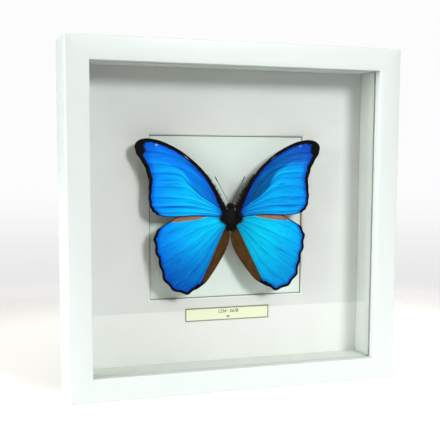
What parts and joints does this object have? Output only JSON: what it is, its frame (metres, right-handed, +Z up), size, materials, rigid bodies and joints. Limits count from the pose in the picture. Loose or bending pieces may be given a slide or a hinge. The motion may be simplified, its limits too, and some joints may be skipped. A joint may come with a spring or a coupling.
{
  "type": "framed butterfly specimen",
  "caption": "Iridescent blue butterfly mounted with spread wings behind glass in a deep white square box frame, over a white mat with a small label.",
  "frame": {"origin": "on the standing surface, under the middle of the frame's footprint", "axes": "+Z up, the front of the frame faces -Y, +X to the viewer's right"},
  "size_m": [0.25, 0.04, 0.25],
  "materials": {
    "frame_paint": "satin white paint on wood",
    "pane_glass": "clear glass with a faint green tint",
    "spacer_white": "white paper-faced board",
    "mat_white": "white mat board with a bevelled window",
    "card_white": "fine white card",
    "label_cream": "cream paper with a printed border",
    "board_brown": "bare hardboard",
    "tab_steel": "thin galvanised steel",
    "riser_foam": "white foam",
    "insect_body": "dry, dark and hairy",
    "wing_scales": "iridescent blue scales with black margins"
  },
  "bodies": {
    "root": {"rail_bottom": "frame_paint", "rail_right": "frame_paint", "rail_top": "frame_paint", "rail_left": "frame_paint", "glass_pane": "pane_glass", "spacer_bottom": "spacer_white", "spacer_right": "spacer_white", "spacer_top": "spacer_white", "spacer_left": "spacer_white", "mat_board": "mat_white", "window_card": "card_white", "label_card": "label_cream", "back_board": "board_brown", "tab_bottom_left": "tab_steel", "tab_bottom_right": "tab_steel", "tab_right_lower": "tab_steel", "tab_right_upper": "tab_steel", "tab_top_right": "tab_steel", "tab_top_left": "tab_steel", "tab_left_upper": "tab_steel", "tab_left_lower": "tab_steel", "riser_block": "riser_foam", "butterfly_body": "insect_body", "antenna_left": "insect_body", "forewing_left": "wing_scales", "hindwing_left": "wing_scales", "antenna_right": "insect_body", "forewing_right": "wing_scales", "hindwing_right": "wing_scales"}
  },
  "joints": []
}
